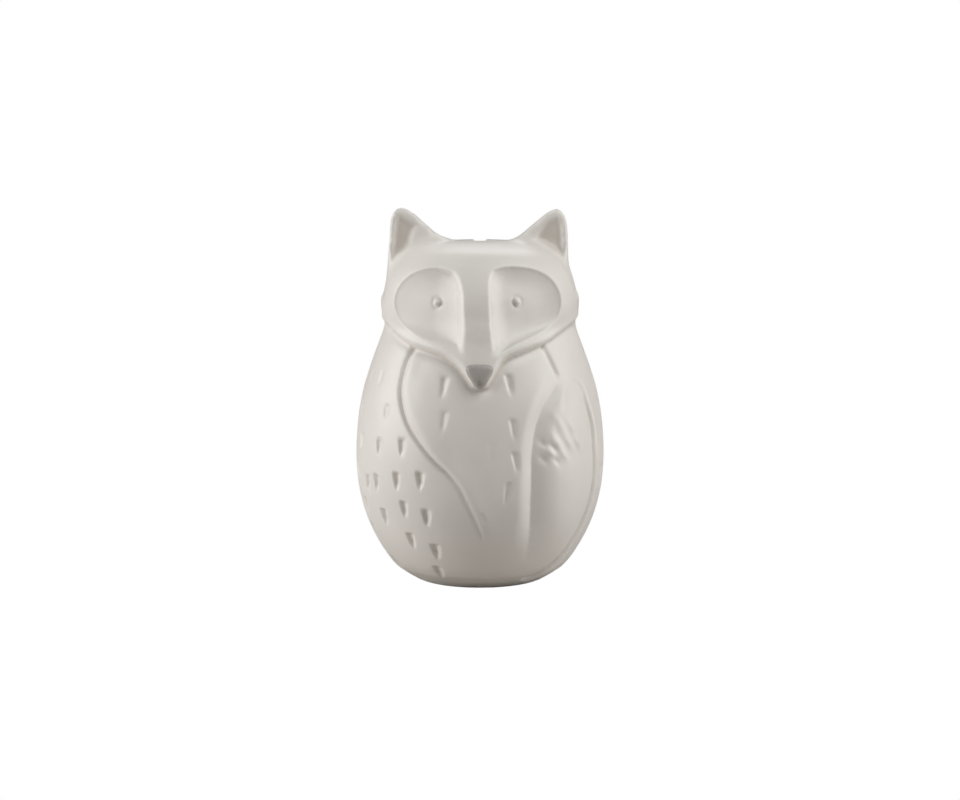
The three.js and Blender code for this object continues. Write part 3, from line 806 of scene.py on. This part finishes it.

# The finished shell carries how much its colour is darkened in hollows (pooled glaze and painted shade)
# and lightened on ridges (painted light), and where it is left bare
final = np.zeros(len(shell_mesh.vertices) * 3)
shell_mesh.vertices.foreach_get("co", final)
final = final.reshape(-1, 3)
nearest = [hollow_tree.find(place)[1:] for place in final]
pooled_and_painted_shade = np.array([hollow[i] if away < 0.4 else 0 for i, away in nearest])
indoors = np.array([away > 0.6 for i, away in nearest], float)
out = np.hypot(final[:, 0], final[:, 1])
foot_ring = smooth_step(0.9, 0.35, final[:, 2]) * (out > RECESS_RADIUS - 0.5)
bare = np.maximum(foot_ring, indoors * (final[:, 2] > CHAMBER_FLOOR - 0.1))
for name, values in (("pooled_and_painted_shade", pooled_and_painted_shade), ("bare", bare)):
    layer = shell_mesh.attributes.new(name, "FLOAT", "POINT")
    layer.data.foreach_set("value", values.astype(np.float32))
fox_shell = finished(shell_mesh, "fox_shell")
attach(fox_shell, "bank")
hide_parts("ceramic_body")


# ---- White satin glaze ----
# A warm white glaze, thin and even, with a soft sheen. Its colour is darker in the pressed lines and
# the ear scoops, partly for pooled glaze and partly as painted shade, and lighter on the ridges as
# painted light. The foot ring is wiped bare so that it doesn't stick in the kiln.

GLAZE = (0.80, 0.765, 0.715, 1)
# A lighter tone: used for random mottling, and as painted light on the ridges
GLAZE_LIGHT_TONE_AND_RIDGE_LIGHT = (0.86, 0.83, 0.785, 1)
# A darker tone for hollows: partly pooled glaze, partly painted shade
GLAZE_POOLED_AND_SHADED = (0.66, 0.615, 0.555, 1)
BISQUE = (0.71, 0.66, 0.585, 1)
GLAZE_ROUGHNESS = 0.38
BISQUE_ROUGHNESS = 0.85
GLAZE_IOR = 1.5


def glaze_skin_group():
    """Slow mottling, ripples and the fine grain of a fired glaze, each from 0 to 1."""
    group = bpy.data.node_groups.new("glaze_skin", "ShaderNodeTree")
    group.interface.new_socket("Place", in_out="INPUT", socket_type="NodeSocketVector")
    nodes, links = group.nodes, group.links
    layers = (("Mottle", 3), ("Ripple", 2), ("Grain", 3))
    for name, _ in layers:
        group.interface.new_socket(name + " Scale", in_out="INPUT", socket_type="NodeSocketFloat")
        group.interface.new_socket(name, in_out="OUTPUT", socket_type="NodeSocketFloat")
    entry = nodes.new("NodeGroupInput")
    exit_node = nodes.new("NodeGroupOutput")
    for name, detail in layers:
        noise = nodes.new("ShaderNodeTexNoise")
        noise.inputs["Detail"].default_value = detail
        links.new(entry.outputs["Place"], noise.inputs["Vector"])
        links.new(entry.outputs[name + " Scale"], noise.inputs["Scale"])
        links.new(noise.outputs["Fac"], exit_node.inputs[name])
    return group


glaze_skin = glaze_skin_group()


def new_material(name):
    """A material with its shader, its nodes and its links."""
    material = bpy.data.materials.new(name)
    material.use_nodes = True
    tree = material.node_tree
    return material, tree.nodes["Principled BSDF"], tree.nodes, tree.links


def mixed(nodes, links, factor, low, high):
    """A colour between two, by a factor. Each may be a colour or another node's output."""
    mix = nodes.new("ShaderNodeMix")
    mix.data_type = "RGBA"
    links.new(factor, mix.inputs["Factor"])
    for socket, value in (("A", low), ("B", high)):
        target = next(s for s in mix.inputs if s.name == socket and s.type == "RGBA")
        if isinstance(value, tuple):
            target.default_value = value
        else:
            links.new(value, target)
    return next(s for s in mix.outputs if s.type == "RGBA")


def ranged(nodes, links, value, low, high, to_low=0.0, to_high=1.0):
    """A value's place between two others, as a share or in a range of its own."""
    span = nodes.new("ShaderNodeMapRange")
    span.interpolation_type = "SMOOTHSTEP"
    links.new(value, span.inputs["Value"])
    ends = {"From Min": low, "From Max": high, "To Min": to_low, "To Max": to_high}
    for socket, number in ends.items():
        span.inputs[socket].default_value = number
    return span.outputs["Result"]


def summed(nodes, links, terms):
    """The sum of several values, each times a number."""
    total = None
    for value, weight in terms:
        step = nodes.new("ShaderNodeMath")
        step.operation = "MULTIPLY_ADD"
        step.inputs[1].default_value = weight
        step.inputs[2].default_value = 0
        links.new(value, step.inputs[0])
        if total is not None:
            links.new(total, step.inputs[2])
        total = step.outputs[0]
    return total


def glazed(nodes, links, mottle, ripple, grain):
    """The outputs of the glaze's skin, at the scales given."""
    place = nodes.new("ShaderNodeTexCoord")
    surface = nodes.new("ShaderNodeGroup")
    surface.node_tree = glaze_skin
    for name, scale in (("Mottle", mottle), ("Ripple", ripple), ("Grain", grain)):
        surface.inputs[name + " Scale"].default_value = scale
    links.new(place.outputs["Object"], surface.inputs["Place"])
    return surface.outputs


def bumped(nodes, links, height, strength, distance, shader):
    """Gives a shader's surface a fine unevenness."""
    bump = nodes.new("ShaderNodeBump")
    bump.inputs["Strength"].default_value = strength
    bump.inputs["Distance"].default_value = distance
    links.new(height, bump.inputs["Height"])
    links.new(bump.outputs["Normal"], shader.inputs["Normal"])


white_glaze, shader, nodes, links = new_material("white_satin_glaze")
surface = glazed(nodes, links, 34, 380, 2600)
pool_shade_attribute = nodes.new("ShaderNodeAttribute")
pool_shade_attribute.attribute_name = "pooled_and_painted_shade"
bare_mask = nodes.new("ShaderNodeAttribute")
bare_mask.attribute_name = "bare"
# Hollows are painted darker (partly pooled glaze, partly painted shade) and ridges lighter (painted
# light)
in_hollow = ranged(nodes, links, pool_shade_attribute.outputs["Fac"], 0.05, 0.6)
on_ridge = ranged(nodes, links, pool_shade_attribute.outputs["Fac"], -0.05, -0.4)
cloud = ranged(nodes, links, surface["Mottle"], 0.35, 0.7, 0, 0.35)
colour = mixed(nodes, links, cloud, GLAZE, GLAZE_LIGHT_TONE_AND_RIDGE_LIGHT)
colour = mixed(nodes, links, on_ridge, colour, GLAZE_LIGHT_TONE_AND_RIDGE_LIGHT)
colour = mixed(nodes, links, in_hollow, colour, GLAZE_POOLED_AND_SHADED)
colour = mixed(nodes, links, bare_mask.outputs["Fac"], colour, BISQUE)
links.new(colour, shader.inputs["Base Color"])
rough = summed(nodes, links, [(surface["Mottle"], 0.10), (surface["Ripple"], 0.06)])
rough = ranged(nodes, links, rough, 0.04, 0.12, GLAZE_ROUGHNESS - 0.04, GLAZE_ROUGHNESS + 0.05)
dull = nodes.new("ShaderNodeMix")
dull.data_type = "FLOAT"
links.new(bare_mask.outputs["Fac"], dull.inputs["Factor"])
links.new(rough, dull.inputs["A"])
dull.inputs["B"].default_value = BISQUE_ROUGHNESS
links.new(dull.outputs["Result"], shader.inputs["Roughness"])
height = summed(nodes, links, [(surface["Ripple"], 0.5), (surface["Grain"], 0.12)])
bumped(nodes, links, height, 0.35, 0.1 * MILLIMETRE, shader)
shader.inputs["IOR"].default_value = GLAZE_IOR
shell_mesh.materials.append(white_glaze)


# ---- Nose ----
# A small pad of clay on the end of the snout, a rounded triangle with its point down, brushed
# with a grey satin glaze.

NOSE_OUTLINE = [(-4.0, 91.8), (0, 92.1), (3.7, 91.7), (5.2, 90.6), (5.0, 88.4), (3.4, 85.4),
                (1.7, 82.9), (-0.1, 82.0), (-1.9, 82.9), (-3.7, 85.4), (-5.4, 88.4), (-5.6, 90.6)]
NOSE_RINGS = (0.35, 0.5, 0.7, 0.8)
NOSE_PROUD = 1.1
NOSE_SUNK = 0.35
NOSE_ROUND = 2.2
NOSE_BACK = 1.2

nose_shape = bmesh.new()
nose_line = line_through(NOSE_OUTLINE, 4, True)
pad = nose_shape.faces.new([nose_shape.verts.new((x, -60, z)) for x, z in nose_line])
for ring in NOSE_RINGS:
    bmesh.ops.inset_region(nose_shape, faces=[pad], thickness=ring, use_boundary=True,
                           use_even_offset=True)
bmesh.ops.poke(nose_shape, faces=[pad])
places = coordinates(nose_shape)
from_edge = from_outline(places[:, 0], places[:, 2], nose_line)
for vert, inward in zip(nose_shape.verts, from_edge):
    rise = min(inward / NOSE_ROUND, 1)
    hit = shell_tree.ray_cast(Vector((vert.co.x, -70, vert.co.z)), Vector((0, 1, 0)))[0]
    vert.co.y = hit.y + NOSE_SUNK - (NOSE_PROUD + NOSE_SUNK) * math.sqrt(1 - (1 - rise) ** 2)
extruded(nose_shape, nose_shape.faces[:], (0, NOSE_BACK, 0), use_keep_orig=True)
nose_mesh = mesh_of(nose_shape, "nose_pad")
nose_pad = finished(nose_mesh, "nose_pad")
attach(nose_pad, "bank")
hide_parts("nose")

GREY = (0.40, 0.37, 0.345, 1)
GREY_WORN = (0.47, 0.44, 0.41, 1)
grey_glaze, shader, nodes, links = new_material("grey_satin_glaze")
surface = glazed(nodes, links, 220, 600, 3200)
streak = ranged(nodes, links, surface["Mottle"], 0.4, 0.7)
links.new(mixed(nodes, links, streak, GREY, GREY_WORN), shader.inputs["Base Color"])
rough = ranged(nodes, links, surface["Ripple"], 0.3, 0.7, 0.42, 0.52)
links.new(rough, shader.inputs["Roughness"])
height = summed(nodes, links, [(surface["Ripple"], 0.6), (surface["Grain"], 0.2)])
bumped(nodes, links, height, 0.4, 0.1 * MILLIMETRE, shader)
nose_mesh.materials.append(grey_glaze)


# ---- Stopper ----
# A moulded soft rubber cup, pushed up into the hole in the base. Its flange lies in the recess
# inside the foot ring, two ribs grip the hole, and a pocket in its underside takes the pull tab.

FLANGE_RADIUS = 17.3
FLANGE_BOTTOM = 0.5
FLANGE_TOP = 2.5
PLUG_RADIUS = 14.2
PLUG_TOP = 10.3
CUP_RADIUS = 11.2
CUP_FLOOR = 4.4
TAB_WIDTH = 9
TAB_FRONT = -11.5
TAB_ROOT = 4.5
POCKET_TOP = 1.8
POCKET_ROOM = 0.3
HINGE_ROOM = 0.8

plug_profile = [
    (0, FLANGE_BOTTOM), (15.0, FLANGE_BOTTOM), (15.3, FLANGE_BOTTOM + 0.25),
    (15.7, FLANGE_BOTTOM + 0.25), (16.0, FLANGE_BOTTOM), (FLANGE_RADIUS - 0.6, FLANGE_BOTTOM),
    (FLANGE_RADIUS - 0.2, FLANGE_BOTTOM + 0.15),
    (FLANGE_RADIUS, FLANGE_BOTTOM + 0.6), (FLANGE_RADIUS, FLANGE_TOP - 0.4),
    (FLANGE_RADIUS - 0.12, FLANGE_TOP - 0.12), (FLANGE_RADIUS - 0.4, FLANGE_TOP),
    (PLUG_RADIUS + 0.15, FLANGE_TOP), (PLUG_RADIUS, FLANGE_TOP + 0.15),
    (PLUG_RADIUS, 3.3), (PLUG_RADIUS - 0.5, 3.8), (PLUG_RADIUS - 0.6, 4.4), (PLUG_RADIUS - 0.4, 5.0),
    (PLUG_RADIUS, 5.5), (PLUG_RADIUS, 6.2), (PLUG_RADIUS - 0.5, 6.8), (PLUG_RADIUS - 0.6, 7.5),
    (PLUG_RADIUS - 0.4, 8.1), (PLUG_RADIUS, 8.6), (PLUG_RADIUS, PLUG_TOP - 1.2),
    (PLUG_RADIUS - 0.35, PLUG_TOP - 0.35), (PLUG_RADIUS - 1.2, PLUG_TOP), (CUP_RADIUS + 0.5, PLUG_TOP),
    (CUP_RADIUS + 0.12, PLUG_TOP - 0.12), (CUP_RADIUS, PLUG_TOP - 0.5), (CUP_RADIUS, CUP_FLOOR + 0.8),
    (CUP_RADIUS - 0.3, CUP_FLOOR + 0.2), (CUP_RADIUS - 0.9, CUP_FLOOR), (0, CUP_FLOOR),
]


def tab_strip(width, front, back, low, high):
    """An upright-ended strip with a round front."""
    strip = bmesh.new()
    arc = [(width / 2 * math.cos(a), front + width / 2 + width / 2 * math.sin(a))
           for a in np.linspace(-math.pi, 0, 25)]
    outline = [(-width / 2, back), *arc, (width / 2, back)]
    face = strip.faces.new([strip.verts.new((x, y, low)) for x, y in outline])
    extruded(strip, [face], (0, 0, high - low))
    return strip


pocket = tab_strip(TAB_WIDTH + 2 * POCKET_ROOM, TAB_FRONT - POCKET_ROOM, TAB_ROOT + HINGE_ROOM,
                   -1, POCKET_TOP)
plug_mesh = cut(mesh_of(turned(plug_profile, 96), "plug"), pocket)
stopper_cup = finished(plug_mesh, "stopper_cup")
plug_mesh.set_sharp_from_angle(angle=math.radians(50))
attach(stopper_cup, "stopper")
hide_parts("stopper_plug")

RUBBER = (0.70, 0.69, 0.655, 1)
RUBBER_DUSTY = (0.60, 0.585, 0.55, 1)
soft_rubber, shader, nodes, links = new_material("soft_moulded_rubber")
place = nodes.new("ShaderNodeTexCoord")
grain = nodes.new("ShaderNodeTexNoise")
grain.inputs["Scale"].default_value = 2200
grain.inputs["Detail"].default_value = 4
clouds = nodes.new("ShaderNodeTexNoise")
clouds.inputs["Scale"].default_value = 140
clouds.inputs["Detail"].default_value = 3
for texture in (grain, clouds):
    links.new(place.outputs["Object"], texture.inputs["Vector"])
dusty = ranged(nodes, links, clouds.outputs["Fac"], 0.4, 0.75)
links.new(mixed(nodes, links, dusty, RUBBER, RUBBER_DUSTY), shader.inputs["Base Color"])
rough = ranged(nodes, links, grain.outputs["Fac"], 0.3, 0.7, 0.58, 0.74)
links.new(rough, shader.inputs["Roughness"])
bumped(nodes, links, grain.outputs["Fac"], 0.5, 0.08 * MILLIMETRE, shader)
plug_mesh.materials.append(soft_rubber)


# ---- Pull tab ----
# A thin tongue moulded in one with the stopper, joined to it by a living hinge at its root. It
# lies in the pocket, and three low ribs near its round end give a grip.

TAB_THICKNESS = 1
GRIP_RIBS = (-7.5, -5.6, -3.7)
RIB_RADIUS = 0.45
RIB_LENGTH = 5.4
ROOT_RADIUS = 0.5

tab_shape = tab_strip(TAB_WIDTH, TAB_FRONT, TAB_ROOT, FLANGE_BOTTOM, FLANGE_BOTTOM + TAB_THICKNESS)
long_edges = [e for e in tab_shape.edges if abs(e.verts[0].co.z - e.verts[1].co.z) < 1e-6]
bmesh.ops.bevel(tab_shape, geom=long_edges, affect="EDGES", offset=0.25, segments=3, profile=0.5,
                material=-1)


def cross_bar(shape, radius, length, y, z, segments):
    """A round bar that lies across the tab."""
    place = Matrix.Translation((0, y, z)) @ Matrix.Rotation(math.pi / 2, 4, "Y")
    bmesh.ops.create_cone(shape, cap_ends=True, segments=segments, radius1=radius, radius2=radius,
                          depth=length, matrix=place)


for rib_place in GRIP_RIBS:
    cross_bar(tab_shape, RIB_RADIUS, RIB_LENGTH, rib_place, FLANGE_BOTTOM + 0.2, 20)
cross_bar(tab_shape, ROOT_RADIUS, TAB_WIDTH, TAB_ROOT, FLANGE_BOTTOM + ROOT_RADIUS, 24)
tab_mesh = mesh_of(tab_shape, "tab")
tab_mesh = worked(tab_mesh, "REMESH", mode="VOXEL", voxel_size=0.14)
tab_mesh = worked(tab_mesh, "SMOOTH", factor=0.5, iterations=3)
pull_tongue = finished(tab_mesh, "pull_tongue")
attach(pull_tongue, "tab")
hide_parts("pull_tab")
tab_mesh.materials.append(soft_rubber)


# ---- Table and light ----
# A white table without a visible edge. Two large soft lights stand to the left and the right at
# half height, the left one stronger, so the middle of the front is in soft shade. Two weaker
# ones light the brow from the upper right and the back from above.

table_shape = bmesh.new()
bmesh.ops.create_grid(table_shape, x_segments=1, y_segments=1, size=6)
table = bpy.data.objects.new("table", mesh_of(table_shape, "table"))
scene.collection.objects.link(table)

TABLE_SHADE = (0.48, 0.455, 0.43, 1)
table_paint, shader, nodes, links = new_material("table_white")
shader.inputs["Base Color"].default_value = TABLE_SHADE
shader.inputs["Roughness"].default_value = 0.9
glow = nodes.new("ShaderNodeEmission")
sight = nodes.new("ShaderNodeLightPath")
either = nodes.new("ShaderNodeMixShader")
links.new(sight.outputs["Is Camera Ray"], either.inputs["Fac"])
links.new(shader.outputs["BSDF"], either.inputs[1])
links.new(glow.outputs["Emission"], either.inputs[2])
links.new(either.outputs["Shader"], nodes["Material Output"].inputs["Surface"])
table.data.materials.append(table_paint)

# The room: seen as plain white, and a weak fill to everything else
FILL = (1, 0.99, 0.975, 1)
FILL_STRENGTH = 0.05
LIGHT_AIM = Vector((0, 0, 0.08))

world = bpy.data.worlds.new("studio")
world.use_nodes = True
scene.world = world
nodes, links = world.node_tree.nodes, world.node_tree.links
fill = nodes["Background"]
fill.inputs["Color"].default_value = FILL
fill.inputs["Strength"].default_value = FILL_STRENGTH
seen = nodes.new("ShaderNodeBackground")
seen.inputs["Color"].default_value = (1, 1, 1, 1)
sight = nodes.new("ShaderNodeLightPath")
either = nodes.new("ShaderNodeMixShader")
links.new(sight.outputs["Is Camera Ray"], either.inputs["Fac"])
links.new(fill.outputs["Background"], either.inputs[1])
links.new(seen.outputs["Background"], either.inputs[2])
links.new(either.outputs["Shader"], nodes["World Output"].inputs["Surface"])


def soft_light(name, place, size, watts):
    """An oblong soft light that looks at the middle of the bank."""
    data = bpy.data.lights.new(name, "AREA")
    data.shape = "RECTANGLE"
    data.size, data.size_y = size
    data.energy = watts
    light = bpy.data.objects.new(name, data)
    light.location = place
    light.rotation_euler = (LIGHT_AIM - light.location).to_track_quat("-Z", "Y").to_euler()
    light.visible_camera = False
    scene.collection.objects.link(light)


soft_light("left_window", (-0.98, -0.13, 0.29), (1.05, 0.8), 10.4)
soft_light("right_window", (0.97, -0.12, 0.29), (0.7, 0.8), 5.0)
soft_light("upper_right", (0.45, -0.38, 0.90), (0.6, 0.6), 4.8)
soft_light("behind", (0.1, 0.75, 0.85), (0.6, 0.6), 2.2)
